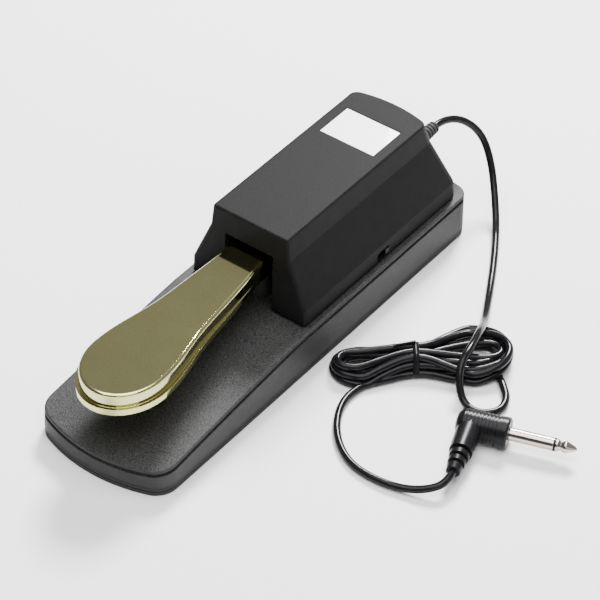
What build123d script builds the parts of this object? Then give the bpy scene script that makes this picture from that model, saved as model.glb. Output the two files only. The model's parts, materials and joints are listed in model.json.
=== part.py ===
"""Sustain pedal: piano-style foot lever in a moulded housing, with its lead and 6.35 mm plug.

Frame: millimetres, +Z up, +Y to the rear of the housing, origin on the surface under the
middle of the body.  The lead lies on the same surface, to the right of the body.
"""
from build123d import *
from math import cos, radians, sin, tan
import os

os.makedirs("parts", exist_ok=True)

# ---------------------------------------------------------------- driving dimensions
# base
front_y, rear_y = -126.6, 126.6        # foremost and rearmost points of the base
base_half = 37.0                       # half width at the foot of the wall
front_sag, rear_sag = 8.8, 4.0         # how far the bowed ends stand out
front_corner, rear_corner = 12.0, 9.0  # radii of the four corners
mat_top = 4.8                          # the shell's wall starts here
base_top = 24.2                        # flat top under the housing
slope_y = -19.0                        # the top slopes down from here to the front
slope_mid = (-72.0, 19.9)              # (y, z) on the sloping top
slope_end = (-130.0, 13.6)
wall = 2.6
base_floor = base_top - wall           # underside of the base's top plate
wall_draft = 1.6                       # degrees
groove_drop, groove_high, groove_deep = 1.2, 2.2, 1.0

# housing
house_front = -9.7
cover_wall = 2.5
# each level: (height, half width, y of the rear corners, y of the rear's middle)
house_levels = [
    (24.2, 33.3, 115.6, 119.6),
    (34.3, 33.0, 114.5, 118.5),
    (59.0, 22.9, 106.2, 109.8),
    (71.4, 21.6, 102.0, 105.5),
]
house_top = house_levels[-1][0]
plinth_high, plinth_inset = 1.3, 1.1
slot_half, slot_top = 13.8, 58.0
label_x, label_y0, label_y1, label_deep = 31.6, 66.1, 88.8, 0.9

# lever
lever_deep = 10.5                      # from its top to the lip's foot
lever_skin = 2.6
paddle_y = -98.5                       # middle of the paddle's round end
paddle_side, paddle_front = 20.3, 25.0
neck_half = 10.4
lever_top = [(-10.0, 54.6), (-40.0, 52.2), (-70.0, 50.9), (-140.0, 48.9)]
tang_z, tang_end = 55.2, 66.0
lip_high, lip_out = 3.2, 1.7
lever_low = 30.0                       # below every part of the lever

# pivot
pivot_y, pivot_z = 44.0, 47.0
shaft_r, shaft_half = 3.0, 19.0
bush_r, bush_gap = 4.5, 0.05

# lead
cable_r = 1.9
lead_z = cable_r + 0.05                # middle of the lead where it lies flat
exit_x, exit_z = 12.0, 51.5
exit_y = 124.0
hank_origin, hank_turn = (74.7, 21.5), 38.46
hank_high = 10.4
plug_turn = 19.2
plug_base = (138.7, 6.2, 7.6)          # where the sleeve leaves the moulding


# ---------------------------------------------------------------- shapes used more than once
def base_outline(height, inset):
    """The base seen from above, drawn at one height and pulled in all round."""
    half = base_half - inset
    y0, y1 = front_y + inset, rear_y - inset
    with BuildSketch(Plane.XY.offset(height)) as outline:
        with BuildLine():
            ThreePointArc((-half, y0 + front_sag), (0, y0), (half, y0 + front_sag))
            Line((half, y0 + front_sag), (half, y1 - rear_sag))
            ThreePointArc((half, y1 - rear_sag), (0, y1), (-half, y1 - rear_sag))
            Line((-half, y1 - rear_sag), (-half, y0 + front_sag))
        make_face()
        corners = outline.vertices().sort_by(Axis.Y)
        fillet(corners[:2], front_corner - inset / 2)
        corners = [v for v in outline.vertices() if v.Y > 0 and abs(v.X) > half - 0.1]
        fillet(corners, rear_corner - inset / 2)
    return outline.sketch


def under_base_top(drop):
    """Everything below the base's top surface, lowered by drop."""
    with BuildPart() as below:
        with BuildSketch(Plane.YZ):
            with BuildLine():
                ThreePointArc(
                    (slope_end[0], slope_end[1] - drop),
                    (slope_mid[0], slope_mid[1] - drop),
                    (slope_y, base_top - drop),
                )
                Polyline(
                    (slope_y, base_top - drop),
                    (rear_y + 5, base_top - drop),
                    (rear_y + 5, -1),
                    (slope_end[0], -1),
                    (slope_end[0], slope_end[1] - drop),
                )
            make_face()
        extrude(amount=base_half + 5, both=True)
    return below.part


def house_section(level, inset):
    """One level of the housing seen from above, pulled in all round."""
    height, half, corner_y, middle_y = level
    half, corner_y, middle_y = half - inset, corner_y - inset, middle_y - inset
    y0 = house_front + inset
    with BuildSketch(Plane.XY.offset(height)) as section:
        with BuildLine():
            Polyline((-half, corner_y), (-half, y0), (half, y0), (half, corner_y))
            ThreePointArc((half, corner_y), (0, middle_y), (-half, corner_y))
        make_face()
        fillet(section.vertices().sort_by(Axis.Y)[:2], max(0.4, 1.6 - inset / 2))
        rear = [v for v in section.vertices() if v.Y > 50]
        fillet(rear, max(2.0, 5.0 - inset))
    return section.sketch


def house_form(inset, levels):
    """The housing's closed form through the given levels."""
    with BuildPart() as form:
        loft([house_section(level, inset) for level in levels], ruled=True)
    return form.part


def lever_side(drop, foot):
    """The lever's side view between its top lowered by drop and a surface foot lower still."""
    top = [(y, z - drop) for y, z in lever_top]
    low = [(y, z - foot) for y, z in lever_top]
    with BuildPart() as band:
        with BuildSketch(Plane.YZ):
            with BuildLine():
                ThreePointArc(top[0], top[1], top[2])
                Polyline(top[2], top[3], low[3], low[2])
                ThreePointArc(low[2], low[1], low[0])
                Polyline(low[0], (tang_end, tang_z - foot), (tang_end, tang_z - drop),
                         (-4, tang_z - drop), top[0])
            make_face()
        extrude(amount=40, both=True)
    return band.part


def lever_outline(grow, neck_grow, neck_end):
    """The lever seen from above: a straight neck that widens to the round paddle."""
    side, ahead, neck = paddle_side + grow, paddle_front + grow, neck_half + neck_grow
    waist_1, waist_2 = 15.2 + (2 * grow + neck_grow) / 3, 12.5 + (grow + 2 * neck_grow) / 3
    with BuildSketch(Plane.XY.offset(lever_low)) as outline:
        with BuildLine():
            right = Spline(
                (side, paddle_y), (waist_1, -64), (waist_2, -38), (neck, -10),
                tangents=((0, 1), (0, 1)),
            )
            mirror(right, about=Plane.YZ)
            Polyline((neck, -10), (neck, neck_end), (-neck, neck_end), (-neck, -10))
            EllipticalCenterArc((0, paddle_y), side, ahead, start_angle=180, arc_size=180)
        make_face()
    return outline.sketch


def lead(points, name):
    """A plain tube along straight runs joined by the largest arcs that fit them."""
    knots = [Vector(*p) for p in points]
    radii = []
    for before, here, after in zip(knots, knots[1:], knots[2:]):
        turn = (here - before).get_angle(after - here)
        run = min((here - before).length, (after - here).length)
        radii.append(0.45 * run / tan(radians(turn / 2)))
    start = Plane(origin=knots[0], z_dir=knots[1] - knots[0])
    with BuildPart() as tube:
        with BuildLine() as path:
            FilletPolyline(*knots, radius=radii)
        with BuildSketch(start):
            Circle(cable_r)
        sweep(path=path.line)
    length = sum(e.length for e in path.edges())
    section = 3.141593 * cable_r**2
    print(name, "length", round(length, 1), "volume over section x length",
          round(tube.part.volume / (section * length), 4),
          "radii", [round(r, 1) for r in radii])
    tube.part.label = name
    return tube.part


# ---------------------------------------------------------------- rubber mat
plate_screw_spots = [(-27, -92), (27, -92), (-29, -24), (29, -24), (-29, 84), (29, 84)]
mat_web = 3.0                          # the mat's thickness under the steel plate
mat_inset, mat_line = 0.1, 2.2

with BuildPart() as rubber_mat:
    add(base_outline(0, mat_inset))
    extrude(amount=mat_top)
    chamfer(rubber_mat.faces().group_by(Axis.Z)[0].edges(), 0.3)
    chamfer(rubber_mat.faces().group_by(Axis.Z)[-1].edges(), 0.4)
    add(base_outline(mat_web, 3.4))
    extrude(amount=mat_top - mat_web, mode=Mode.SUBTRACT)
    # fine groove round the edge
    with BuildSketch(Plane.XY.offset(mat_line)):
        add(base_outline(mat_line, mat_inset - 1))
        add(base_outline(mat_line, mat_inset + 0.5), mode=Mode.SUBTRACT)
    extrude(amount=0.5, mode=Mode.SUBTRACT)
    # shallow grip grooves across the underside
    with BuildSketch(Plane.XY):
        with GridLocations(0, 12, 1, 17):
            SlotOverall(44, 4)
    extrude(amount=0.8, mode=Mode.SUBTRACT)
    # clearance for the screw heads
    with BuildSketch(Plane.XY):
        with Locations(*plate_screw_spots):
            Circle(3.6)
    extrude(amount=mat_web, mode=Mode.SUBTRACT)
rubber_mat.part.label = "rubber_mat"
export_step(rubber_mat.part, "parts/rubber_mat.step")

# ---------------------------------------------------------------- steel bottom plate
with BuildPart() as bottom_plate:
    add(base_outline(mat_web, 3.5))
    extrude(amount=mat_top - mat_web)
    with Locations(*[(x, y, mat_top) for x, y in plate_screw_spots]):
        Hole(1.7)
bottom_plate.part.label = "bottom_plate"
export_step(bottom_plate.part, "parts/bottom_plate.step")

# ---------------------------------------------------------------- bottom plate screws
with BuildPart() as plate_screws:
    with Locations(*[(x, y, mat_web) for x, y in plate_screw_spots]):
        Cylinder(3.0, 1.6, align=(Align.CENTER, Align.CENTER, Align.MAX))
        Cylinder(1.2, 7.0, align=(Align.CENTER, Align.CENTER, Align.MIN))
    with Locations(*[(x, y, mat_web - 1.6) for x, y in plate_screw_spots]):
        Box(3.4, 0.7, 0.8, mode=Mode.SUBTRACT)
        Box(0.7, 3.4, 0.8, mode=Mode.SUBTRACT)
plate_screws.part.label = "plate_screws"
export_step(plate_screws.part, "parts/plate_screws.step")

# ---------------------------------------------------------------- base shell
with BuildPart() as base_block:
    add(base_outline(mat_top, 0))
    extrude(amount=30, taper=wall_draft)
    add(under_base_top(0), mode=Mode.INTERSECT)
    rim = [e for e in base_block.edges() if e.center().Z > 11 and e.length > 3]
    rim = [e for e in rim if abs(e.center().X) > 1 or abs(e.center().Y) > 100]
    fillet(rim, 0.9)

with BuildPart() as groove_ring:
    add(base_outline(mat_top, -1.0))
    extrude(amount=30)
    add(base_outline(mat_top, groove_deep))
    extrude(amount=30, taper=wall_draft, mode=Mode.SUBTRACT)
    add(under_base_top(groove_drop), mode=Mode.INTERSECT)
    add(under_base_top(groove_drop + groove_high), mode=Mode.SUBTRACT)

with BuildPart() as base_cavity:
    add(base_outline(mat_top, wall))
    extrude(amount=30, taper=wall_draft)
    add(under_base_top(wall), mode=Mode.INTERSECT)

with BuildPart() as base_posts:
    with Locations(*[(x, y, mat_top) for x, y in plate_screw_spots]):
        Cylinder(3.6, 30, align=(Align.CENTER, Align.CENTER, Align.MIN))
    add(base_block.part, mode=Mode.INTERSECT)

stop_boss_r, stop_boss_top = 3.5, base_top + 9.0
down_stop_y, up_stop_y = -0.5, 61.0
down_stop_top = 39.2
cover_screw_spots = [(-24, 4), (24, 4), (-24, 98), (24, 98)]
bracket_screw_spots = [(-4.5, 24.5), (4.5, 24.5), (-7, 49), (7, 49)]
board_screw_spots = [(24.4, 41.5), (24.4, 66.5)]
clamp_screw_spots = [(8.4, 75), (19.6, 75)]
bracket_screw_r, small_screw_r = 1.4, 1.1

with BuildPart() as base_shell:
    add(base_block.part)
    add(groove_ring.part, mode=Mode.SUBTRACT)
    add(base_cavity.part, mode=Mode.SUBTRACT)
    add(base_posts.part)
    with Locations(*[(x, y, mat_top) for x, y in plate_screw_spots]):
        Cylinder(1.2, 6.0, align=(Align.CENTER, Align.CENTER, Align.MIN), mode=Mode.SUBTRACT)
    # bosses for the two rubber stops
    with Locations((0, down_stop_y, base_top), (0, up_stop_y, base_top)):
        Cylinder(stop_boss_r, 9.0, align=(Align.CENTER, Align.CENTER, Align.MIN))
    # clearance holes for the cover's screws
    with Locations(*[(x, y, base_top) for x, y in cover_screw_spots]):
        Cylinder(1.6, 3 * wall, mode=Mode.SUBTRACT)
    # threaded holes for the bracket, the circuit board and the cable clamp
    with Locations(*[(x, y, base_top) for x, y in bracket_screw_spots]):
        Cylinder(bracket_screw_r, 3 * wall, mode=Mode.SUBTRACT)
    with Locations(*[(x, y, base_top) for x, y in board_screw_spots + clamp_screw_spots]):
        Cylinder(small_screw_r, 3 * wall, mode=Mode.SUBTRACT)
base_shell.part.label = "base_shell"
export_step(base_shell.part, "parts/base_shell.step")

# ---------------------------------------------------------------- housing cover
slot_y, slot_z, slot_long, slot_high = 53.5, 28.2, 9.6, 5.0

with BuildPart() as cover_block:
    add(house_form(0, house_levels))
    fillet(cover_block.faces().sort_by(Axis.Z)[-1].edges(), 1.2)

inner_levels = [(23.0, *house_levels[0][1:])] + house_levels[1:-1] + [
    (house_top - cover_wall, *house_levels[-1][1:])
]
with BuildPart() as cover_posts:
    with Locations(*[(x, y, base_top) for x, y in cover_screw_spots]):
        Cylinder(3.6, 32, align=(Align.CENTER, Align.CENTER, Align.MIN))
    add(cover_block.part, mode=Mode.INTERSECT)

with BuildPart() as housing_cover:
    add(cover_block.part)
    add(house_form(cover_wall, inner_levels), mode=Mode.SUBTRACT)
    add(cover_posts.part)
    with Locations(*[(x, y, base_top) for x, y in cover_screw_spots]):
        Cylinder(1.25, 13, align=(Align.CENTER, Align.CENTER, Align.MIN), mode=Mode.SUBTRACT)
    # shadow gap round the foot
    add(house_section((base_top, *house_levels[0][1:]), -1.0))
    add(house_section((base_top, *house_levels[0][1:]), plinth_inset), mode=Mode.SUBTRACT)
    extrude(amount=plinth_high, mode=Mode.SUBTRACT)
    # opening for the lever, from the base up
    with BuildSketch(Plane.XZ.offset(-house_front - 5)):
        with Locations((0, (slot_top + base_top - 2) / 2)):
            Rectangle(2 * slot_half, slot_top - base_top + 2)
    extrude(amount=10, mode=Mode.SUBTRACT)
    # recess for the label
    with Locations((0, (label_y0 + label_y1) / 2, house_top)):
        Box(label_x, label_y1 - label_y0, 2 * label_deep, mode=Mode.SUBTRACT)
    # slot for the polarity knob, with a chamfered mouth
    with BuildSketch(Plane.YZ.offset(28)):
        with Locations((slot_y, slot_z)):
            RectangleRounded(slot_long, slot_high, 1.2)
    extrude(amount=8, mode=Mode.SUBTRACT)
    # hole for the strain relief
    with BuildSketch(Plane.XZ.offset(-100)):
        with Locations((exit_x, exit_z)):
            Circle(3.0)
    extrude(amount=-25, mode=Mode.SUBTRACT)
housing_cover.part.label = "housing_cover"
export_step(housing_cover.part, "parts/housing_cover.step")

# ---------------------------------------------------------------- cover screws
with BuildPart() as cover_screws:
    with Locations(*[(x, y, base_floor) for x, y in cover_screw_spots]):
        Cylinder(2.9, 2.2, align=(Align.CENTER, Align.CENTER, Align.MAX))
        Cylinder(1.25, 13, align=(Align.CENTER, Align.CENTER, Align.MIN))
    fillet(cover_screws.edges().group_by(Axis.Z)[0], 0.8)
cover_screws.part.label = "cover_screws"
export_step(cover_screws.part, "parts/cover_screws.step")

# ---------------------------------------------------------------- label plate
with BuildPart() as label_plate:
    with Locations((0, (label_y0 + label_y1) / 2, house_top - label_deep)):
        Box(label_x - 0.4, label_y1 - label_y0 - 0.4, 0.6,
            align=(Align.CENTER, Align.CENTER, Align.MIN))
    fillet(label_plate.edges().filter_by(Axis.Z), 0.5)
label_plate.part.label = "label_plate"
export_step(label_plate.part, "parts/label_plate.step")

# ---------------------------------------------------------------- lever
tang_low = tang_z - lever_deep
lever_boss_r = 6.5

with BuildPart() as lever_body:
    add(lever_outline(0, 0, tang_end))
    extrude(amount=40)
    add(lever_side(0, lever_deep), mode=Mode.INTERSECT)
    rim = [e for e in lever_body.edges() if e.center().Z > tang_low + 3.5 and e.length > 8]
    rim = [e for e in rim if e.center().Y < 60 and abs(e.center().X) > 1 or e.center().Y < -110]
    fillet(rim, 1.5)

with BuildPart() as lever_lip:
    add(lever_outline(lip_out, 0, -9.0))
    extrude(amount=40)
    add(lever_side(lever_deep - lip_high, lever_deep), mode=Mode.INTERSECT)

with BuildPart() as lever_hollow:
    add(lever_outline(-lever_skin, -lever_skin, -8.0))
    extrude(amount=40)
    add(lever_side(lever_skin, 2 * lever_deep), mode=Mode.INTERSECT)

with BuildPart() as pedal_lever:
    add(lever_body.part)
    add(lever_lip.part)
    # hollow underside of the paddle and neck; the tang inside the housing is solid
    add(lever_hollow.part, mode=Mode.SUBTRACT)
    # boss with a bore for the two bushes
    with Locations((0, pivot_y, pivot_z)):
        Cylinder(lever_boss_r, 2 * neck_half, rotation=(0, 90, 0))
        Cylinder(bush_r, 2 * neck_half, rotation=(0, 90, 0), mode=Mode.SUBTRACT)
pedal_lever.part.label = "pedal_lever"
export_step(pedal_lever.part, "parts/pedal_lever.step")

# ---------------------------------------------------------------- lever bushes
bush_in, flange_out, flange_r = 2.5, 13.6, 6.3

for name, side in (("bush_left", -1), ("bush_right", 1)):
    with BuildPart() as bush:
        with Locations((side * (bush_in + neck_half) / 2, pivot_y, pivot_z)):
            Cylinder(bush_r, neck_half - bush_in, rotation=(0, 90, 0))
        with Locations((side * (neck_half + flange_out) / 2, pivot_y, pivot_z)):
            Cylinder(flange_r, flange_out - neck_half, rotation=(0, 90, 0))
        with Locations((side * flange_out / 2, pivot_y, pivot_z)):
            Cylinder(shaft_r + bush_gap, 2 * flange_out, rotation=(0, 90, 0), mode=Mode.SUBTRACT)
    bush.part.label = name
    export_step(bush.part, f"parts/{name}.step")

# ---------------------------------------------------------------- pivot shaft and its clips
cheek_in, cheek_out = 14.0, 16.0
clip_thick, clip_gap, clip_r, clip_groove_r = 0.8, 0.1, 4.6, 2.4

with BuildPart() as pivot_shaft:
    with Locations((0, pivot_y, pivot_z)):
        Cylinder(shaft_r, 2 * shaft_half, rotation=(0, 90, 0))
    chamfer(pivot_shaft.edges(), 0.4)
    for side in (-1, 1):
        with BuildSketch(Plane.YZ.offset(side * (cheek_out + clip_gap / 2))):
            with Locations((pivot_y, pivot_z)):
                Circle(shaft_r + 1)
                Circle(clip_groove_r, mode=Mode.SUBTRACT)
        extrude(amount=side * (clip_thick + clip_gap), mode=Mode.SUBTRACT)
pivot_shaft.part.label = "pivot_shaft"
export_step(pivot_shaft.part, "parts/pivot_shaft.step")

with BuildPart() as shaft_clips:
    for side in (-1, 1):
        with BuildSketch(Plane.YZ.offset(side * (cheek_out + clip_gap))):
            with Locations((pivot_y, pivot_z)):
                Circle(clip_r)
                Circle(clip_groove_r, mode=Mode.SUBTRACT)
                with Locations((0, -clip_r)):
                    Rectangle(2 * clip_groove_r - 0.6, 2 * clip_r, mode=Mode.SUBTRACT)
        extrude(amount=side * clip_thick)
shaft_clips.part.label = "shaft_clips"
export_step(shaft_clips.part, "parts/shaft_clips.step")

# ---------------------------------------------------------------- pivot bracket
bracket_y0, bracket_y1, bracket_thick, bracket_top = 20.0, 54.0, 2.0, 53.5
bracket_floor = base_top + bracket_thick
switch_screw_spots = [(24.0, 34.0), (33.0, 34.0)]        # (y, z) on the right cheek
switch_screw_r = 1.0

with BuildPart() as pivot_bracket:
    with BuildSketch(Plane.YZ):
        Polygon(
            (bracket_y0, base_top), (bracket_y1, base_top), (bracket_y1, 31),
            (50, bracket_top), (38, bracket_top), (bracket_y0, 41),
            align=None,
        )
    extrude(amount=cheek_out, both=True)
    with Locations((0, (bracket_y0 + bracket_y1) / 2, bracket_floor)):
        Box(2 * cheek_in, 60, 60, align=(Align.CENTER, Align.CENTER, Align.MIN),
            mode=Mode.SUBTRACT)
    with Locations((0, pivot_y, pivot_z)):
        Cylinder(shaft_r, 60, rotation=(0, 90, 0), mode=Mode.SUBTRACT)
    with Locations(*[(cheek_out, y, z) for y, z in switch_screw_spots]):
        Cylinder(switch_screw_r, 10, rotation=(0, 90, 0), mode=Mode.SUBTRACT)
    with Locations(*[(x, y, base_top) for x, y in bracket_screw_spots]):
        Cylinder(bracket_screw_r, 10, mode=Mode.SUBTRACT)
pivot_bracket.part.label = "pivot_bracket"
export_step(pivot_bracket.part, "parts/pivot_bracket.step")


def pan_screws(spots, seat, head_r, head_high, shank_r, shank_long):
    """Cross-head screws pointing down, each head resting on the seat height."""
    with BuildPart() as screws:
        with Locations(*[(x, y, seat) for x, y in spots]):
            Cylinder(head_r, head_high, align=(Align.CENTER, Align.CENTER, Align.MIN))
            Cylinder(shank_r, shank_long, align=(Align.CENTER, Align.CENTER, Align.MAX))
        fillet(screws.edges().group_by(Axis.Z)[-1], 0.4 * head_high)
        with Locations(*[(x, y, seat + head_high) for x, y in spots]):
            Box(1.1 * head_r, 0.25 * head_r, head_high, mode=Mode.SUBTRACT)
            Box(0.25 * head_r, 1.1 * head_r, head_high, mode=Mode.SUBTRACT)
    return screws.part


bracket_screws = pan_screws(bracket_screw_spots, bracket_floor, 2.7, 1.8, bracket_screw_r, 7.0)
bracket_screws.label = "bracket_screws"
export_step(bracket_screws, "parts/bracket_screws.step")

# ---------------------------------------------------------------- return spring and its seat
spring_y, spring_r, wire_r = 12.0, 4.7, 0.8
seat_top, peg_top, peg_r = base_top + 1.2, base_top + 5.0, 3.4

with BuildPart() as spring_seat:
    with Locations((0, spring_y, base_top)):
        Cylinder(6.2, seat_top - base_top, align=(Align.CENTER, Align.CENTER, Align.MIN))
        Cylinder(peg_r, peg_top - base_top, align=(Align.CENTER, Align.CENTER, Align.MIN))
    chamfer(spring_seat.faces().sort_by(Axis.Z)[-1].edges(), 0.6)
spring_seat.part.label = "spring_seat"
export_step(spring_seat.part, "parts/spring_seat.step")

coil_low, coil_high = seat_top + wire_r, tang_low - wire_r - 0.6
with BuildPart() as return_spring:
    with BuildLine() as coil:
        Helix((coil_high - coil_low) / 5.25, coil_high - coil_low, spring_r,
              center=(0, spring_y, coil_low))
    with BuildSketch(Plane(origin=coil.line @ 0, z_dir=coil.line % 0)):
        Circle(wire_r)
    sweep(path=coil.line, is_frenet=True)
return_spring.part.label = "return_spring"
export_step(return_spring.part, "parts/return_spring.step")

# ---------------------------------------------------------------- rubber stops
stop_r, stop_low = 6.0, base_top
for name, y, top in (("down_stop", down_stop_y, down_stop_top), ("up_stop", up_stop_y, tang_low - 0.3)):
    with BuildPart() as stop:
        with Locations((0, y, stop_low)):
            Cylinder(stop_r, top - stop_low, align=(Align.CENTER, Align.CENTER, Align.MIN))
            fillet(stop.faces().sort_by(Axis.Z)[-1].edges(), 1.5)
            Cylinder(stop_boss_r, stop_boss_top - stop_low,
                     align=(Align.CENTER, Align.CENTER, Align.MIN), mode=Mode.SUBTRACT)
    stop.part.label = name
    export_step(stop.part, f"parts/{name}.step")

# ---------------------------------------------------------------- microswitch
micro_x0, micro_x1 = 7.6, 13.9
micro_y0, micro_y1 = 19.5, 37.5
micro_z0, micro_z1 = 31.0, 41.0
leaf_y, leaf_z = 35.5, 42.2            # the leaf's hinge
plunger_y, plunger_r = 29.0, 0.9
micro_x = (micro_x0 + micro_x1) / 2

with BuildPart() as microswitch_body:
    with Locations((micro_x, (micro_y0 + micro_y1) / 2, (micro_z0 + micro_z1) / 2)):
        Box(micro_x1 - micro_x0, micro_y1 - micro_y0, micro_z1 - micro_z0)
    chamfer(microswitch_body.edges().filter_by(Axis.X), 0.5)
    # two ears that carry the leaf's hinge pin
    for ear_x in (micro_x0 + 0.4, micro_x1 - 0.4):
        with BuildSketch(Plane.YZ.offset(ear_x - 0.4)):
            with Locations((leaf_y, leaf_z)):
                Circle(0.9)
            with Locations((leaf_y, (leaf_z + micro_z1) / 2)):
                Rectangle(1.8, leaf_z - micro_z1)
        extrude(amount=0.8)
    with Locations((micro_x, leaf_y, leaf_z)):
        Cylinder(0.4, micro_x1 - micro_x0 - 0.8, rotation=(0, 90, 0))
    # bore for the plunger
    with Locations((micro_x, plunger_y, micro_z1)):
        Cylinder(plunger_r + 0.05, 5.5, align=(Align.CENTER, Align.CENTER, Align.MAX),
                 mode=Mode.SUBTRACT)
    with Locations(*[(micro_x, y, z) for y, z in switch_screw_spots]):
        Cylinder(switch_screw_r, 10, rotation=(0, 90, 0), mode=Mode.SUBTRACT)
microswitch_body.part.label = "microswitch_body"
export_step(microswitch_body.part, "parts/microswitch_body.step")

terminal_ys = (22.0, 28.5, 35.0)
with BuildPart() as microswitch_terminals:
    with Locations(*[(micro_x, y, micro_z0) for y in terminal_ys]):
        Box(0.6, 2.6, 3.6, align=(Align.CENTER, Align.CENTER, Align.MAX))
    with Locations(*[(micro_x, y, micro_z0 - 2.2) for y in terminal_ys]):
        Cylinder(0.5, 2, rotation=(0, 90, 0), mode=Mode.SUBTRACT)
microswitch_terminals.part.label = "microswitch_terminals"
export_step(microswitch_terminals.part, "parts/microswitch_terminals.step")

leaf_tip_y, leaf_tip_z, leaf_thick = 20.5, 44.0, 0.3
leaf_half = (micro_x1 - micro_x0) / 2 - 1.0
with BuildPart() as microswitch_leaf:
    with BuildSketch(Plane.YZ.offset(micro_x)):
        with BuildLine():
            Polyline(
                (leaf_y, leaf_z + 0.6), (leaf_tip_y, leaf_tip_z),
                (leaf_tip_y, leaf_tip_z + leaf_thick), (leaf_y, leaf_z + 0.6 + leaf_thick),
                (leaf_y, leaf_z + 0.6),
            )
        make_face()
        with Locations((leaf_y, leaf_z)):
            Circle(0.9)
            Circle(0.45, mode=Mode.SUBTRACT)
    extrude(amount=leaf_half, both=True)
microswitch_leaf.part.label = "microswitch_leaf"
export_step(microswitch_leaf.part, "parts/microswitch_leaf.step")

plunger_top = 42.6
with BuildPart() as microswitch_plunger:
    with Locations((micro_x, plunger_y, plunger_top)):
        Cylinder(plunger_r, 5.0, align=(Align.CENTER, Align.CENTER, Align.MAX))
    fillet(microswitch_plunger.faces().sort_by(Axis.Z)[-1].edges(), 0.5)
microswitch_plunger.part.label = "microswitch_plunger"
export_step(microswitch_plunger.part, "parts/microswitch_plunger.step")

with BuildPart() as microswitch_screws:
    with Locations(*[(micro_x0, y, z) for y, z in switch_screw_spots]):
        Cylinder(1.8, 1.0, rotation=(0, 90, 0),
                 align=(Align.CENTER, Align.CENTER, Align.MAX))
        Cylinder(switch_screw_r, cheek_out + 1 - micro_x0, rotation=(0, 90, 0),
                 align=(Align.CENTER, Align.CENTER, Align.MIN))
microswitch_screws.part.label = "microswitch_screws"
export_step(microswitch_screws.part, "parts/microswitch_screws.step")

# ---------------------------------------------------------------- circuit board
board_x0, board_x1, board_y0, board_y1, board_thick = 18.6, 30.0, 38.0, 70.0, 1.6
board_top = base_top + board_thick
with BuildPart() as circuit_board:
    with Locations(((board_x0 + board_x1) / 2, (board_y0 + board_y1) / 2, base_top)):
        Box(board_x1 - board_x0, board_y1 - board_y0, board_thick,
            align=(Align.CENTER, Align.CENTER, Align.MIN))
    with Locations(*[(x, y, board_top) for x, y in board_screw_spots]):
        Hole(small_screw_r)
circuit_board.part.label = "circuit_board"
export_step(circuit_board.part, "parts/circuit_board.step")

board_screws = pan_screws(board_screw_spots, board_top, 2.1, 1.4, small_screw_r, 6.0)
board_screws.label = "board_screws"
export_step(board_screws, "parts/board_screws.step")

# ---------------------------------------------------------------- polarity switch
knob_long, knob_high, knob_travel = 3.2, 3.2, 5.8
knob_y = slot_y + slot_long / 2 - 0.2 - knob_long / 2    # at the rear end of its slot
knob_back, knob_face = 25.6, 33.4
case_x0, case_x1, case_end = 21.4, 29.6, 2.6
case_long = knob_long + knob_travel + 2 * case_end
case_high = slot_z + knob_high / 2 + 1.3 - board_top

with BuildPart() as polarity_switch_body:
    with Locations(((case_x0 + case_x1) / 2, knob_y - knob_travel / 2, board_top)):
        Box(case_x1 - case_x0, case_long, case_high,
            align=(Align.CENTER, Align.CENTER, Align.MIN))
    # guide for the knob, open toward the cover's wall
    with Locations((knob_back - 0.2, knob_y - knob_travel / 2, slot_z)):
        Box(10, knob_long + knob_travel + 0.2, knob_high + 0.1,
            align=(Align.MIN, Align.CENTER, Align.CENTER), mode=Mode.SUBTRACT)
polarity_switch_body.part.label = "polarity_switch_body"
export_step(polarity_switch_body.part, "parts/polarity_switch_body.step")

with BuildPart() as polarity_knob:
    with Locations(((knob_back + knob_face) / 2, knob_y, slot_z)):
        Box(knob_face - knob_back, knob_long, knob_high)
    fillet(polarity_knob.faces().sort_by(Axis.X)[-1].edges(), 0.4)
polarity_knob.part.label = "polarity_knob"
export_step(polarity_knob.part, "parts/polarity_knob.step")

# ---------------------------------------------------------------- strain relief
wall_in, wall_out = 106.8, 113.2       # clear of the sloping rear wall on both sides
with BuildPart() as strain_relief:
    with BuildSketch(Plane.YZ.offset(exit_x)):
        with BuildLine():
            Polyline(
                (wall_in - 2, exit_z + cable_r), (wall_in - 2, exit_z + 4.6),
                (wall_in, exit_z + 4.6), (wall_in, exit_z + 3.0),
                (wall_out, exit_z + 3.0), (wall_out, exit_z + 3.7),
                (exit_y, exit_z + 3.1), (exit_y, exit_z + cable_r),
                (wall_in - 2, exit_z + cable_r),
            )
        make_face()
    revolve(axis=Axis((exit_x, 0, exit_z), (0, 1, 0)))
    # grooves that let the collar bend
    for groove_y in (115.6, 117.8, 120.0, 122.2):
        with BuildSketch(Plane.XZ.offset(-groove_y)):
            with Locations((exit_x, exit_z)):
                Circle(5)
                Circle(2.7, mode=Mode.SUBTRACT)
        extrude(amount=-0.8, mode=Mode.SUBTRACT)
strain_relief.part.label = "strain_relief"
export_step(strain_relief.part, "parts/strain_relief.step")

# ---------------------------------------------------------------- cable inside the housing
cable_end = (14.0, 72.0, base_top + cable_r + 0.05)
inner_cable = lead(
    [
        (exit_x, exit_y, exit_z), (exit_x, 101, exit_z), (12.5, 90, 44),
        (13.2, 86, 32.5), (14.0, 81, cable_end[2]), cable_end,
    ],
    "inner_cable",
)
export_step(inner_cable, "parts/inner_cable.step")

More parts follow.
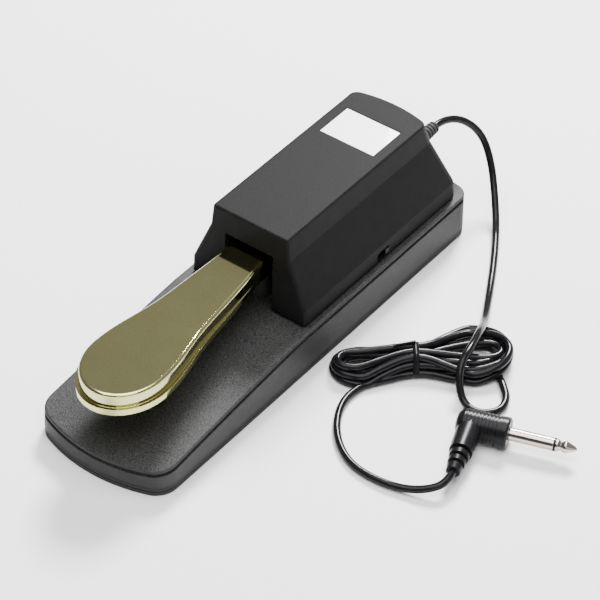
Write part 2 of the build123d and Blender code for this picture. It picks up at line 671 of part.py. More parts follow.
clamp_wide, clamp_long, clamp_thick = 5.0, 15.6, 1.2
(clamp_x0, clamp_y), (clamp_x1, _) = clamp_screw_spots
clamp_x = (clamp_x0 + clamp_x1) / 2
clamp_high = 2 * cable_r + 0.4
with BuildPart() as cable_clamp:
    with Locations((clamp_x, clamp_y, base_top)):
        Box(clamp_long, clamp_wide, clamp_thick, align=(Align.CENTER, Align.CENTER, Align.MIN))
        Box(2 * (cable_r + clamp_thick) + 0.2, clamp_wide, clamp_high + clamp_thick,
            align=(Align.CENTER, Align.CENTER, Align.MIN))
        Box(2 * cable_r + 0.2, clamp_wide, clamp_high,
            align=(Align.CENTER, Align.CENTER, Align.MIN), mode=Mode.SUBTRACT)
    with Locations(*[(x, y, base_top) for x, y in clamp_screw_spots]):
        Cylinder(small_screw_r, 10, mode=Mode.SUBTRACT)
cable_clamp.part.label = "cable_clamp"
export_step(cable_clamp.part, "parts/cable_clamp.step")

clamp_screws = pan_screws(clamp_screw_spots, base_top + clamp_thick, 1.9, 1.2, small_screw_r, 5.5)
clamp_screws.label = "clamp_screws"
export_step(clamp_screws, "parts/clamp_screws.step")

# ---------------------------------------------------------------- wires
wire_radius = 0.55
wire_low = cable_end[2]
wire_routes = [                        # each with its last direction
    [(13.2, 72, wire_low), (12.8, 62, 28.0), (12.4, 50, 28.6), (11.6, 42, 28.8),
     (10.75, 36.3, 29.4), (0, -1, 0)],
    [(14.0, 72, wire_low + 1), (13.2, 64, 30.0), (12.9, 52, 31.0), (12.6, 41, 30.2),
     (12.5, 34, 28.8), (10.75, 29.8, 28.9), (0, -1, 0)],
    [(14.8, 72, wire_low), (17.5, 66, 28.6), (21.0, 62.4, 27.8), (21.0, 62.4, board_top),
     (0, 0, -1)],
    [(14.0, 72, wire_low - 1), (16.6, 66.5, 25.6), (19.4, 60.4, 27.4), (19.8, 59.6, board_top),
     (0, 0, -1)],
]
with BuildPart() as switch_wires:
    for *route, last_way in wire_routes:
        with BuildLine() as wire_path:
            Spline(*route, tangents=((0, -1, 0), last_way))
        with BuildSketch(Plane(origin=route[0], z_dir=(0, -1, 0))):
            Circle(wire_radius)
        sweep(path=wire_path.line)
switch_wires.part.label = "switch_wires"
export_step(switch_wires.part, "parts/switch_wires.step")

# ---------------------------------------------------------------- lead from the housing to the hank
cord_to_hank = lead(
    [
        (exit_x, exit_y, exit_z), (exit_x, 132, exit_z), (17, 143, 47.5), (24, 150.5, 37),
        (31, 149.5, 24), (39.5, 141.5, 13), (49, 130, 3.5), (62, 109, lead_z),
        (76, 83, lead_z), (85.5, 65, 5.5), (92.5, 50, 14.5), (97, 36, 17),
        (98.5, 25.5, 16), (102, 18.5, 9.5), (107.5, 14.8, 2.4), (117, 13.5, lead_z),
        (124.2, 21, lead_z), (122, 30.5, lead_z), (114.5, 37.5, 2.4),
    ],
    "cord_to_hank",
)
export_step(cord_to_hank, "parts/cord_to_hank.step")

# ---------------------------------------------------------------- hank and its tie
along = (cos(radians(hank_turn)), sin(radians(hank_turn)), 0)
hank_low = 0.05
hank_plane = Plane(origin=(*hank_origin, hank_low), x_dir=along, z_dir=(0, 0, 1))
hank_outline = [                       # anticlockwise from the left end, along the hank and across
    (-38.8, -6), (-36, -14.5), (-24, -13.5), (-12, -10.2), (0, -8.4), (14, -11.5),
    (28, -15), (41, -12.5), (47, 0), (45, 15), (36, 24), (25, 24.5), (12, 19), (0, 13.6),
    (-14, 10), (-28, 9.5), (-36.5, 4),
]
tie_u, tie_wide, tie_thick = 0.9, 3.0, 0.8
tie_low, tie_high = hank_outline[4][1] + 0.2, hank_outline[13][1] + 0.2

with BuildPart() as hank_block:
    with BuildSketch(hank_plane):
        with BuildLine():
            Spline(*hank_outline, periodic=True)
        make_face()
    extrude(amount=hank_high)
    fillet(hank_block.faces().filter_by(Axis.Z).edges(), 2.5)

tie_plane = Plane(
    origin=hank_plane.from_local_coords((tie_u - tie_wide / 2, 0, 0)),
    x_dir=(-along[1], along[0], 0), z_dir=along,
)


def tie_section(inset):
    """The waist of the hank seen along it, pulled in all round."""
    with BuildSketch(tie_plane) as section:
        with Locations(((tie_low + tie_high) / 2, hank_high / 2)):
            RectangleRounded(tie_high - tie_low - 2 * inset, hank_high - 2 * inset, 3.4 - inset)
    return section.sketch


with BuildPart() as tie_channel:
    with BuildSketch(tie_plane):
        Rectangle(60, 60)
    extrude(amount=tie_wide)
    extrude(tie_section(tie_thick), amount=tie_wide, dir=along, mode=Mode.SUBTRACT)

with BuildPart() as cord_hank:
    add(hank_block.part)
    add(tie_channel.part, mode=Mode.SUBTRACT)
cord_hank.part.label = "cord_hank"
export_step(cord_hank.part, "parts/cord_hank.step")

tail_r, tail_long = 1.0, 11.0
tie_tail = hank_plane.from_local_coords((tie_u, tie_high - 6.0, hank_high + 0.9))
with BuildPart() as twist_tie:
    extrude(tie_section(0), amount=tie_wide, dir=along)
    extrude(tie_section(tie_thick), amount=tie_wide, dir=along, mode=Mode.SUBTRACT)
    # the two ends, twisted together and laid back along the hank
    with BuildSketch(Plane(origin=tie_tail, z_dir=(-along[0], -along[1], 0))):
        Circle(tail_r)
    extrude(amount=tail_long)
twist_tie.part.label = "twist_tie"
export_step(twist_tie.part, "parts/twist_tie.step")

# ---------------------------------------------------------------- lead from the hank to the plug
tail_from, tail_to = 17.95, 32.4       # the lead's branch behind the sleeve, and its length
plug_along = (cos(radians(plug_turn)), sin(radians(plug_turn)), 0)
plug_side = (plug_along[1], -plug_along[0], 0)
plug_plane = Plane(origin=plug_base, x_dir=plug_along, z_dir=plug_side)
plug_axis = Axis(plug_base, plug_along)
tail_start = plug_plane.from_local_coords((-tail_from, 0, 0))
tail_end = plug_plane.from_local_coords((-tail_from, 0, tail_to))
cord_to_plug = lead(
    [
        (70.5, 6, 2.2), (62.9, -5, lead_z), (62.6, -20.5, lead_z), (72.8, -38.5, lead_z),
        (88.6, -50.2, lead_z), (106.4, -51.4, lead_z), (120.6, -48, 2.6), (130.2, -42.6, 5.2),
        (133.6, -36.8, 7.0), tuple(tail_end),
    ],
    "cord_to_plug",
)
export_step(cord_to_plug, "parts/cord_to_plug.step")

# ---------------------------------------------------------------- plug moulding
sleeve_r, sleeve_start, root, root_r = 3.175, 0.3, 10.0, 2.8
barrel_r, collar_r, barrel_long, collar_long = 7.3, 7.55, 25.0, 3.5
ring_first, ring_pitch, ring_count, ring_deep = 5.0, 1.75, 10, 0.45

with BuildPart() as plug_body:
    with BuildSketch(plug_plane):
        with BuildLine():
            Polyline(
                (0, root_r), (0, collar_r - 0.8), (-0.8, collar_r), (-collar_long, collar_r),
                (-collar_long, barrel_r), (-barrel_long + 5, barrel_r),
            )
            RadiusArc((-barrel_long + 5, barrel_r), (-barrel_long, barrel_r - 5), -5)
            Polyline(
                (-barrel_long, barrel_r - 5), (-barrel_long, 0), (-root, 0), (-root, root_r),
                (0, root_r),
            )
        make_face()
    revolve(axis=plug_axis)
    # grooves round the barrel
    for i in range(ring_count):
        start = -ring_first - i * ring_pitch
        with BuildSketch(Plane(origin=plug_plane.from_local_coords((start, 0, 0)), z_dir=plug_along)):
            Circle(barrel_r + 1)
            Circle(barrel_r - ring_deep, mode=Mode.SUBTRACT)
        extrude(amount=-0.7, mode=Mode.SUBTRACT)
    # tapered branch for the lead, ending in three collars on a thinner neck
    for start, end, r0, r1 in (
        (0, 19.0, 6.25, 5.5), (18.0, tail_to, 2.9, 2.7),
        (20.6, 23.0, 4.8, 4.6), (24.8, 27.2, 4.3, 4.1), (29.0, tail_to, 3.8, 3.3),
    ):
        with BuildSketch(Plane(origin=tail_start + Vector(*plug_side) * start, z_dir=plug_side)):
            Circle(r0)
        with BuildSketch(Plane(origin=tail_start + Vector(*plug_side) * end, z_dir=plug_side)):
            Circle(r1)
        loft()
plug_body.part.label = "plug_body"
export_step(plug_body.part, "parts/plug_body.step")

# ---------------------------------------------------------------- plug contacts
sleeve_end, ring_end, tip_end = 21.0, 22.1, 31.9
core_r, liner_r = 1.2, 1.9


def plug_turning(points):
    """A turned piece of the plug: its half profile along the plug's axis, closed and spun."""
    with BuildPart() as turning:
        with BuildSketch(plug_plane):
            with BuildLine():
                Polyline(*points, points[0])
            make_face()
        revolve(axis=plug_axis)
    return turning.part


plug_sleeve = plug_turning([
    (-root, liner_r), (-root, root_r), (sleeve_start, root_r), (sleeve_start, sleeve_r),
    (sleeve_end, sleeve_r), (sleeve_end, liner_r),
])
plug_ring = plug_turning([
    (-root, core_r), (-root, liner_r), (sleeve_end, liner_r), (sleeve_end, sleeve_r),
    (ring_end, sleeve_r), (ring_end, core_r),
])
plug_tip = plug_turning([
    (-root, 0), (-root, core_r), (ring_end, core_r), (ring_end, 2.95), (ring_end + 0.8, 2.95),
    (ring_end + 2.3, 2.1), (ring_end + 4.2, 3.0), (ring_end + 4.8, 3.0), (tip_end - 0.9, 1.3),
    (tip_end, 0.5), (tip_end, 0),
])
for name, piece in (("plug_sleeve", plug_sleeve), ("plug_ring", plug_ring), ("plug_tip", plug_tip)):
    piece.label = name
    export_step(piece, f"parts/{name}.step")
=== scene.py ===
"""Looks for the sustain pedal: its materials, its lead as one smooth cord, light and camera."""
import json
from math import cos, pi, radians, sin

import bpy
from mathutils import Matrix, Vector
from mathutils.geometry import convex_hull_2d


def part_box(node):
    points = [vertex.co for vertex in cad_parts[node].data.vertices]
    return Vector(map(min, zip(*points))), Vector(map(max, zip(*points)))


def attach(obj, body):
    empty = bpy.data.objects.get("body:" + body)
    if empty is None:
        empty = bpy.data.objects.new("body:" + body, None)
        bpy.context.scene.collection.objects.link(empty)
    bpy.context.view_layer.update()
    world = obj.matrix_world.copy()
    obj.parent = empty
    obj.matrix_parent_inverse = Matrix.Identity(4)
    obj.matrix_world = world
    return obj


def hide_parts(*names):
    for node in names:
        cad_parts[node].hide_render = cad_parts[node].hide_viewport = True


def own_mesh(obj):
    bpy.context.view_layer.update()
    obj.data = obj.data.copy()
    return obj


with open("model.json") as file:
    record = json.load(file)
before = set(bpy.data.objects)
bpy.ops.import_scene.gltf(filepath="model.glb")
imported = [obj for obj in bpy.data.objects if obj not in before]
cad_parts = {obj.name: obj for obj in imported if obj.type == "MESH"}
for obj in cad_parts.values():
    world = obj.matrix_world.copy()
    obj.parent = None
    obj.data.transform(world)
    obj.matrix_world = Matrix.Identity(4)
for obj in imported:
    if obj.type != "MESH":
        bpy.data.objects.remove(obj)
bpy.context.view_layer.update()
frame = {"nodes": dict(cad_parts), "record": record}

MM = 0.001                                  # metres
LAMPS_AIM = Vector((0.03, 0, 0.03))
FLOOR_REACH = 6.0


# ---------------------------------------------------------------- camera, light and floor
def build_camera():
    heading, down, roll = radians(35.19), radians(41.31), radians(2.18)
    turn = (Matrix.Rotation(heading, 4, "Z") @ Matrix.Rotation(pi / 2 - down, 4, "X")
            @ Matrix.Rotation(roll, 4, "Z"))
    data = bpy.data.cameras.new("camera")
    data.lens, data.sensor_width = 180.1, 36.0
    camera = bpy.data.objects.new("camera", data)
    camera.matrix_world = Matrix.Translation((0.6311, -0.8621, 0.9572)) @ turn
    bpy.context.scene.collection.objects.link(camera)
    bpy.context.scene.camera = camera


def area_light(name, place, size, power):
    """A rectangular lamp aimed at the middle of the pedal."""
    data = bpy.data.lights.new(name, "AREA")
    data.shape = "RECTANGLE"
    data.size, data.size_y = size
    data.energy = power
    light = bpy.data.objects.new(name, data)
    light.location = place
    light.rotation_euler = (LAMPS_AIM - Vector(place)).to_track_quat("-Z", "Y").to_euler()
    bpy.context.scene.collection.objects.link(light)


def build_world():
    """A grey room that is lighter overhead and behind the pedal than before it."""
    world = bpy.data.worlds.new("studio")
    world.use_nodes = True
    tree = world.node_tree
    background = tree.nodes["Background"]
    coords = tree.nodes.new("ShaderNodeTexCoord")
    split = tree.nodes.new("ShaderNodeSeparateXYZ")
    shade = tree.nodes.new("ShaderNodeValToRGB")
    tree.links.new(coords.outputs["Generated"], split.inputs[0])
    tree.links.new(split.outputs["Z"], shade.inputs["Fac"])
    tree.links.new(shade.outputs["Color"], background.inputs["Color"])
    behind = tree.nodes.new("ShaderNodeMapRange")
    for socket, number in zip(("From Min", "From Max", "To Min", "To Max"), (-0.8, 0.8, 0.35, 1.15)):
        behind.inputs[socket].default_value = number
    tree.links.new(split.outputs["Y"], behind.inputs["Value"])
    tree.links.new(behind.outputs["Result"], background.inputs["Strength"])
    low, high = shade.color_ramp.elements
    low.position, low.color = 0.0, (0.62, 0.64, 0.66, 1)
    high.position, high.color = 1.0, (1.0, 1.0, 1.0, 1)
    for place, grey in ((0.45, 0.34), (0.78, 0.36), (0.9, 0.9)):
        shade.color_ramp.elements.new(place).color = (grey, grey, grey, 1)
    bpy.context.scene.world = world


def build_stage():
    build_world()
    area_light("key", (-0.40, 1.05, 1.12), (0.42, 0.42), 78)
    area_light("over", (0.15, -0.25, 1.7), (1.6, 1.6), 48)
    area_light("fill", (0.9, -0.7, 0.8), (0.9, 0.9), 3)
    mesh = bpy.data.meshes.new("floor")
    corners = [(x * FLOOR_REACH, y * FLOOR_REACH, 0) for x, y in ((-1, -1), (1, -1), (1, 1), (-1, 1))]
    mesh.from_pydata(corners, [], [(0, 1, 2, 3)])
    floor = bpy.data.objects.new("floor", mesh)
    bpy.context.scene.collection.objects.link(floor)
    mesh.materials.append(Look("floor_white", 0.7, color=(0.93, 0.93, 0.93)).material)


# ---------------------------------------------------------------- materials
class Look:
    """A procedural material; its textures are measured in the object's own millimetres."""

    def __init__(self, name, roughness, metallic=0.0, color=(0.5, 0.5, 0.5), coat=0.0, specular=0.5):
        self.material = bpy.data.materials.new(name)
        self.material.use_nodes = True
        self.tree = self.material.node_tree
        self.shader = self.tree.nodes["Principled BSDF"]
        self.shader.inputs["Base Color"].default_value = (*color, 1)
        self.shader.inputs["Roughness"].default_value = roughness
        self.shader.inputs["Metallic"].default_value = metallic
        self.shader.inputs["Coat Weight"].default_value = coat
        self.shader.inputs["Specular IOR Level"].default_value = specular
        self.coords = self.tree.nodes.new("ShaderNodeTexCoord")

    def link(self, source, target):
        self.tree.links.new(source, target)

    def noise(self, grain_mm, detail=3.0, stretch=(1, 1, 1)):
        """Cloudy noise whose lumps are about grain_mm across."""
        mapping = self.tree.nodes.new("ShaderNodeMapping")
        mapping.inputs["Scale"].default_value = stretch
        self.link(self.coords.outputs["Object"], mapping.inputs["Vector"])
        noise = self.tree.nodes.new("ShaderNodeTexNoise")
        noise.inputs["Scale"].default_value = 1 / (grain_mm * MM)
        noise.inputs["Detail"].default_value = detail
        self.link(mapping.outputs["Vector"], noise.inputs["Vector"])
        return noise.outputs["Fac"]

    def waves(self, pitch_mm, direction="X", distortion=0.0):
        waves = self.tree.nodes.new("ShaderNodeTexWave")
        waves.bands_direction = direction
        waves.inputs["Scale"].default_value = 0.314 / (pitch_mm * MM)
        waves.inputs["Distortion"].default_value = distortion
        self.link(self.coords.outputs["Object"], waves.inputs["Vector"])
        return waves.outputs["Fac"]

    def facing_up(self):
        """1 on faces that look up, 0 on walls."""
        split = self.tree.nodes.new("ShaderNodeSeparateXYZ")
        self.link(self.coords.outputs["Normal"], split.inputs[0])
        return self.scale(split.outputs["Z"], 0.35, 0.75, 0.0, 1.0)

    def scale(self, value, low, high, to_low, to_high):
        fit = self.tree.nodes.new("ShaderNodeMapRange")
        for socket, number in zip(("From Min", "From Max", "To Min", "To Max"),
                                  (low, high, to_low, to_high)):
            fit.inputs[socket].default_value = number
        self.link(value, fit.inputs["Value"])
        return fit.outputs["Result"]

    def math(self, operation, a, b):
        node = self.tree.nodes.new("ShaderNodeMath")
        node.operation = operation
        for socket, value in zip(node.inputs, (a, b)):
            if isinstance(value, (int, float)):
                socket.default_value = value
            else:
                self.link(value, socket)
        return node.outputs[0]

    def shades(self, value, *stops):
        """A colour for each value: stops are (place, colour)."""
        ramp = self.tree.nodes.new("ShaderNodeValToRGB")
        elements = ramp.color_ramp.elements
        while len(elements) < len(stops):
            elements.new(1.0)
        for element, (place, color) in zip(elements, stops):
            element.position, element.color = place, (*color, 1)
        self.link(value, ramp.inputs["Fac"])
        return ramp.outputs["Color"]

    def mix(self, share, first, second):
        mix = self.tree.nodes.new("ShaderNodeMix")
        mix.data_type = "RGBA"
        self.link(share, mix.inputs["Factor"])
        self.link(first, mix.inputs["A"])
        self.link(second, mix.inputs["B"])
        return mix.outputs["Result"]

    def color(self, source):
        self.link(source, self.shader.inputs["Base Color"])

    def roughness(self, source, low, high):
        self.link(self.scale(source, 0.3, 0.7, low, high), self.shader.inputs["Roughness"])

    def relief(self, height, depth_mm, strength=1.0, edge_mm=0.0):
        """Bumps of the given depth, over edges softened by edge_mm."""
        bump = self.tree.nodes.new("ShaderNodeBump")
        bump.inputs["Strength"].default_value = strength
        bump.inputs["Distance"].default_value = depth_mm * MM
        self.link(height, bump.inputs["Height"])
        if edge_mm:
            edge = self.tree.nodes.new("ShaderNodeBevel")
            edge.inputs["Radius"].default_value = edge_mm * MM
            self.link(edge.outputs["Normal"], bump.inputs["Normal"])
        self.link(bump.outputs["Normal"], self.shader.inputs["Normal"])


def textured_plastic(name, wall, top, specular=0.04):
    """Moulded black plastic of the given greys: spark-eroded grain on its tops, smoother walls."""
    look = Look(name, 0.5, specular=specular)
    grain, blotch, up = look.noise(0.5, 2.0), look.noise(6.0, 5.0), look.facing_up()
    tops = look.shades(grain, (0.36, (0.35 * top,) * 3), (0.64, (1.65 * top,) * 3))
    walls = look.shades(blotch, (0.3, (0.92 * wall,) * 3), (0.7, (1.08 * wall,) * 3))
    look.color(look.mix(up, walls, tops))
    look.roughness(grain, 0.42, 0.6)
    look.relief(look.math("MULTIPLY", grain, look.scale(up, 0, 1, 0.2, 1.0)), 0.10, 0.8, 0.7)
    return look.material


def smooth_black(name, roughness, grain_mm=1.2, depth_mm=0.012):
    """Glossy black plastic with a faint orange peel."""
    look = Look(name, roughness, specular=0.14)
    grain = look.noise(grain_mm, 2.0)
    look.color(look.shades(grain, (0.3, (0.005, 0.005, 0.006)), (0.7, (0.010, 0.010, 0.011))))
    look.roughness(look.noise(9.0, 4.0), roughness - 0.04, roughness + 0.06)
    look.relief(grain, depth_mm, 0.6, 0.2)
    return look.material


def mat_rubber():
    look = Look("rubber", 0.75)
    grain = look.noise(0.8, 4.0)
    look.color(look.shades(grain, (0.3, (0.006, 0.006, 0.006)), (0.75, (0.018, 0.018, 0.017))))
    look.roughness(grain, 0.66, 0.85)
    look.relief(grain, 0.1, 0.6, 0.3)
    return look.material


def plated(name, bright, dull, roughness, speck_depth=0.006):
    """Polished plating with tiny pits and a slight haze."""
    look = Look(name, roughness, metallic=1.0)
    haze, specks = look.noise(14.0, 5.0), look.noise(0.45, 2.0)
    cloud = look.shades(haze, (0.3, dull), (0.75, bright))
    pits = look.shades(specks, (0.28, tuple(0.72 * c for c in dull)), (0.5, bright))
    look.color(look.mix(look.scale(specks, 0.2, 0.6, 0.0, 0.8), pits, cloud))
    look.roughness(haze, roughness, roughness + 0.012)
    look.relief(specks, speck_depth, 0.5, 0.35)
    return look.material


def brushed_steel():
    look = Look("steel", 0.32, metallic=1.0)
    lines = look.noise(0.25, 4.0, (1, 0.04, 1))
    look.color(look.shades(lines, (0.3, (0.42, 0.42, 0.43)), (0.7, (0.62, 0.62, 0.63))))
    look.roughness(lines, 0.24, 0.42)
    look.relief(lines, 0.01, 0.4, 0.1)
    return look.material


def printed_label():
    look = Look("white_label", 0.35, coat=0.3)
    grain = look.noise(0.7, 3.0)
    look.color(look.shades(grain, (0.3, (0.84, 0.84, 0.83)), (0.7, (0.90, 0.90, 0.89))))
    look.roughness(grain, 0.3, 0.42)
    look.relief(grain, 0.01, 0.4, 0.2)
    return look.material


def plain_nylon():
    look = Look("nylon", 0.5)
    cloud = look.noise(2.0, 4.0)
    look.color(look.shades(cloud, (0.3, (0.62, 0.60, 0.54)), (0.7, (0.74, 0.72, 0.66))))
    look.shader.inputs["Subsurface Weight"].default_value = 0.1
    look.shader.inputs["Subsurface Radius"].default_value = (0.002, 0.0015, 0.001)
    look.roughness(cloud, 0.42, 0.58)
    look.relief(cloud, 0.03, 0.4, 0.2)
    return look.material


def solder_mask():
    """Green board with paler copper tracks under the mask."""
    look = Look("board", 0.3, coat=0.4)
    tracks = look.waves(2.4, "X", 3.0)
    copper = look.shades(tracks, (0.55, (0.003, 0.022, 0.009)), (0.62, (0.008, 0.05, 0.02)))
    look.color(copper)
    look.roughness(look.noise(1.5), 0.22, 0.36)
    look.relief(tracks, 0.02, 0.4, 0.1)
    return look.material


def turned_brass():
    look = Look("brass", 0.3, metallic=1.0)
    cloud = look.noise(0.8, 4.0)
    look.color(look.shades(cloud, (0.3, (0.55, 0.38, 0.14)), (0.7, (0.74, 0.55, 0.24))))
    look.roughness(cloud, 0.22, 0.4)
    look.relief(cloud, 0.01, 0.4, 0.1)
    return look.material


def wire_cover():
    look = Look("wire", 0.4)
    cloud = look.noise(3.0, 3.0)
    look.color(look.shades(cloud, (0.3, (0.30, 0.025, 0.02)), (0.7, (0.42, 0.04, 0.03))))
    look.roughness(cloud, 0.34, 0.46)
    look.relief(cloud, 0.01, 0.4)
    return look.material


def paint_nodes():
    looks = {
        "black_plastic": textured_plastic("black_plastic", 0.009, 0.009),
        "gloss_black": smooth_black("gloss_black", 0.30),
        "switch_black": smooth_black("switch_black", 0.42, 0.6, 0.03),
        "cable": smooth_black("cable", 0.14, 2.5, 0.02),
        "rubber": mat_rubber(),
        "lever_plating": plated("lever_plating", (0.585, 0.56, 0.27), (0.565, 0.54, 0.26), 0.06),
        "nickel": plated("nickel", (0.60, 0.54, 0.50), (0.46, 0.41, 0.38), 0.10, 0.003),
        "steel": brushed_steel(),
        "white_label": printed_label(),
        "nylon": plain_nylon(),
        "board": solder_mask(),
        "brass": turned_brass(),
        "wire": wire_cover(),
    }
    own = {"base_shell": textured_plastic("base_plastic", 0.035, 0.034, 0.14)}   # paler than the hood
    for part in frame["record"]["subparts"]:
        look = own.get(part["node"], looks[part["material_slot"]])
        for slot in frame["nodes"][part["node"]].material_slots:
            slot.material = look
    return looks


# ---------------------------------------------------------------- lead
CORD = 3.8                                  # millimetres, as every place below
LOW = CORD / 2 + 0.05                       # the lead's middle where it lies on the floor
LAYER = 0.866 * CORD                        # a turn lies in the valley of the layer below it
HANK = Matrix.Translation((74.7, 21.5, 0)) @ Matrix.Rotation(radians(38.46), 4, "Z")
TIE_AT, TIE_WIDE, TIE_THICK, TIE_RIDGE = 0.9, 3.0, 0.35, 0.3

to_hank = [
    (12, 124, 51.5), (12, 132, 51.5), (17, 143, 47.5), (24, 150.5, 37), (31, 149.5, 24),
    (39.5, 141.5, 13), (49, 130, 3.5), (62, 109, LOW), (76, 83, LOW), (85.5, 65, 5.5),
    (92.5, 50, 14.5), (97, 36, 17), (98.5, 25.5, 16), (102, 18.5, 9.5), (107.5, 14.8, 2.4),
    (117, 13.5, LOW), (124.2, 21, LOW), (122, 30.5, LOW), (114.5, 37.5, 2.4),
]
to_plug = [
    (70.5, 6, 2.2), (62.9, -5, LOW), (62.6, -20.5, LOW), (72.8, -38.5, LOW),
    (88.6, -50.2, LOW), (106.4, -51.4, LOW), (120.6, -48, 2.6), (130.2, -42.6, 5.2),
    (133.6, -36.8, 7.0), (132.4, -30.3, 7.6),
]

# Each turn goes left under the tie at the front, round the left end, back to the right behind,
# and round the right end.  Places are (across the hank, height).
tie_low = LOW + TIE_THICK + TIE_RIDGE
tie_mid, tie_top = tie_low + LAYER, tie_low + 2 * LAYER
MID, TOP = LOW + LAYER, LOW + 2 * LAYER
front_at_tie = [(-1.6, tie_low), (0.3, tie_mid), (2.2, tie_top), (-1.6, tie_top), (-3.5, tie_mid),
                (-5.4, tie_low)]
back_at_tie = [(8.0, tie_low), (4.1, tie_mid), (6.0, tie_top), (7.9, tie_mid), (11.9, tie_low)]
# folds: (reach along the hank, side it comes in on, side it goes out on, height in its middle)
left_folds = [
    (-33.5, (-7.6, LOW), (6.8, LOW), LOW),
    (-32.6, (-7.2, MID), (3.4, MID), MID),
    (-35.8, (-8.0, TOP), (2.6, TOP), TOP),
    (-37.0, (-11.0, MID), (7.2, MID), MID),
    (-37.6, (-13.0, LOW), (10.6, LOW), LOW),
]
right_folds = [
    (39.0, (13.5, LOW), (-1.5, MID), MID - 0.8),
    (41.8, (12.6, MID), (1.6, MID + 0.6), MID + 0.4),
    (44.8, (19.0, MID + 0.4), (-10.2, MID + 0.9), TOP + 1.0),
    (44.9, (22.2, LOW), (-5.9, MID), MID + 0.3),
    (45.4, (26.2, LOW), (-11.0, LOW), MID),
]


def blend(a, b, share):
    return tuple(x + (y - x) * share for x, y in zip(a, b))


def fold(at_tie_in, reach, side_in, side_out, middle, at_tie_out):
    """A turn's way from the tie round one end of the hank and back, as (along, across, height)."""
    side = 1 if reach > 0 else -1
    half = min(abs(side_in[0] - side_out[0]) / 2, 0.3 * abs(reach)) * 1.15
    centre = reach - side * half
    points = [(TIE_AT + side * 4.5, *at_tie_in)]
    points += [(side * 13 + 0.2 * (centre - side * 13), *blend(at_tie_in, side_in, 0.55)),
               (side * 13 + 0.7 * (centre - side * 13), *blend(at_tie_in, side_in, 0.95))]
    mid_across = (side_in[0] + side_out[0]) / 2
    spread = (side_in[0] - side_out[0]) / 2
    for step in range(5):
        angle = radians(90 - 45 * step)
        ends = blend(side_in, side_out, step / 4)[1]
        hump = (middle - (side_in[1] + side_out[1]) / 2) * sin(pi * step / 4)
        points.append((centre + side * half * 1.12 * cos(angle), mid_across + spread * sin(angle) * 1.04,
                       ends + hump))
    points += [(side * 13 + 0.7 * (centre - side * 13), *blend(at_tie_out, side_out, 0.95)),
               (side * 13 + 0.2 * (centre - side * 13), *blend(at_tie_out, side_out, 0.55))]
    points.append((TIE_AT + side * 4.5, *at_tie_out))
    return points


def hank_route():
    """All turns, from where the lead comes in under the right end to where it leaves."""
    points = [(39.6, -4.4, LOW), (33, -1.9, LOW), (23, -2.0, LOW), (12, -1.8, LOW + 0.2),
              (TIE_AT + 4.5, *front_at_tie[0])]
    for turn, (left, right) in enumerate(zip(left_folds, right_folds)):
        points += fold(front_at_tie[turn], *left, back_at_tie[turn])
        points += fold(back_at_tie[turn], *right, front_at_tie[turn + 1])
    points.append((TIE_AT - 4.5, *blend(front_at_tie[-1], (-6.4, LOW), 0.7)))
    return [tuple(HANK @ Vector(p)) for p in points]


def cord_object():
    route = to_hank + hank_route() + to_plug
    curve = bpy.data.curves.new("lead", "CURVE")
    curve.dimensions = "3D"
    spline = curve.splines.new("NURBS")
    spline.points.add(len(route) - 1)
    for point, place in zip(spline.points, route):
        point.co = (*(c * MM for c in place), 1)
    spline.order_u = 3
    spline.use_endpoint_u = True
    curve.resolution_u = 8
    curve.bevel_depth = CORD / 2 * MM
    curve.bevel_resolution = 6
    obj = bpy.data.objects.new("lead", curve)
    bpy.context.scene.collection.objects.link(obj)
    return obj


# ---------------------------------------------------------------- twist tie
def mesh_object(name, points, faces, look):
    """A mesh piece from points in millimetres."""
    mesh = bpy.data.meshes.new(name)
    mesh.from_pydata([tuple(c * MM for c in p) for p in points], [], faces)
    mesh.polygons.foreach_set("use_smooth", [True] * len(mesh.polygons))
    mesh.materials.append(look)
    mesh.update()
    obj = bpy.data.objects.new(name, mesh)
    bpy.context.scene.collection.objects.link(obj)
    return obj


def ring_faces(rings, around, first, closed):
    """Quads between successive rings of points."""
    faces = []
    for i in range(rings if closed else rings - 1):
        for j in range(around):
            a, b = i * around, (i + 1) % rings * around
            k = (j + 1) % around
            faces.append((first + a + j, first + a + k, first + b + k, first + b + j))
    return faces


def tie_band():
    """The loop round the turns, ribbed by the wire in its middle."""
    outline, sides = [], 24
    for across, height in front_at_tie + back_at_tie:
        for k in range(sides):
            angle = 2 * pi * k / sides
            outline.append(Vector((across + cos(angle) * CORD / 2, height + sin(angle) * CORD / 2)))
    loop = [outline[k] for k in convex_hull_2d(outline)]
    half, low, high = TIE_WIDE / 2, TIE_THICK, TIE_THICK + TIE_RIDGE
    section = [(-half, 0), (half, 0), (half, low), (0.5, low), (0.3, high), (-0.3, high),
               (-0.5, low), (-half, low)]
    points = []
    for k, here in enumerate(loop):
        chord = loop[(k + 1) % len(loop)] - loop[k - 1]
        out = Vector((chord.y, -chord.x)).normalized()
        for along, away in section:
            place = here + out * away
            points.append((TIE_AT + along, place.x, place.y))
    return points, ring_faces(len(loop), len(section), 0, True)


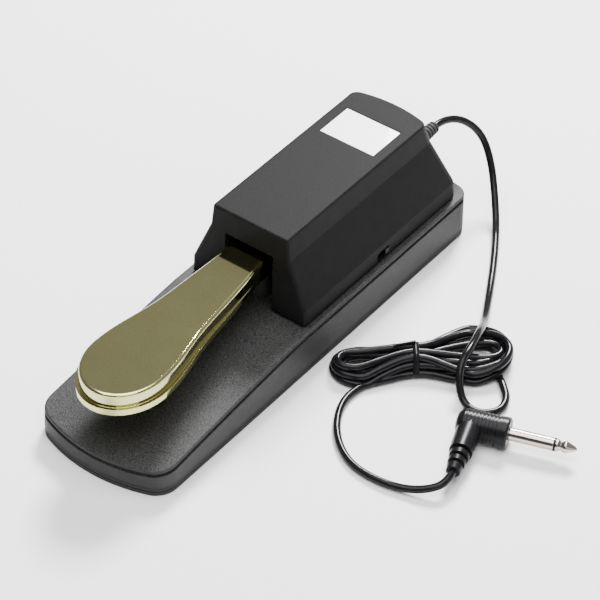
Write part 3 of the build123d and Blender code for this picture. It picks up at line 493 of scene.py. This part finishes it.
def tie_ends(first):
    """The tie's two ends, twisted round each other and laid back along the hank."""
    points, faces = [], []
    turns, long, wire, steps, around = 4.5, 10.5, 0.48, 72, 8
    for start in (0, pi):
        ring_first = first + len(points)
        for i in range(steps + 1):
            t = i / steps
            angle = start + 2 * pi * turns * t
            apart = wire * (1 + 1.6 * max(0.0, t - 0.86) / 0.14)
            middle = Vector((TIE_AT - long * t, 6.0 - 2.4 * t, tie_top + CORD / 2 + 1.05 - 0.5 * t))
            middle += Vector((0, cos(angle), sin(angle))) * apart
            for k in range(around):
                turn = 2 * pi * k / around
                points.append(middle + Vector((0, cos(turn), sin(turn))) * wire)
        faces += ring_faces(steps + 1, around, ring_first, False)
        last = first + len(points) - around
        faces += [tuple(range(ring_first, ring_first + around))[::-1],
                  tuple(range(last, last + around))]
    return [tuple(p) for p in points], faces


def build_tie(look):
    points, faces = tie_band()
    more_points, more_faces = tie_ends(len(points))
    places = [tuple(HANK @ Vector(p)) for p in points + more_points]
    return mesh_object("tie", places, faces + more_faces, look)


# ---------------------------------------------------------------- return spring
def build_spring(look):
    """A compression spring between its seat and the lever, with closed end turns."""
    low, high = (Vector(corner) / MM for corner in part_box("return_spring"))
    middle = (low + high) / 2
    wire, turns, steps, around, closing = 0.8, 6, 240, 12, 0.8
    coil = (high.x - low.x) / 2 - wire
    points = []
    for i in range(steps + 1):
        t = i / steps
        rise = t - closing * sin(2 * pi * t) / (2 * pi)
        height = low.z + wire + rise * (high.z - low.z - 2 * wire)
        outward = Vector((cos(2 * pi * turns * t), sin(2 * pi * turns * t), 0))
        centre = Vector((middle.x, middle.y, height)) + outward * coil
        for k in range(around):
            turn = 2 * pi * k / around
            points.append(centre + (outward * cos(turn) + Vector((0, 0, sin(turn)))) * wire)
    faces = ring_faces(steps + 1, around, 0, False)
    faces += [tuple(range(around))[::-1], tuple(range(steps * around, (steps + 1) * around))]
    return mesh_object("spring", points, faces, look)


# ---------------------------------------------------------------- build
build_stage()
build_camera()
looks = paint_nodes()

lead = cord_object()
lead.data.materials.append(looks["cable"])
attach(lead, "chassis")
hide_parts("cord_to_hank", "cord_hank", "cord_to_plug")

tie = build_tie(looks["gloss_black"])
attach(tie, "chassis")
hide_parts("twist_tie")

spring = build_spring(looks["steel"])
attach(spring, "chassis")
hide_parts("return_spring")
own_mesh(spring)
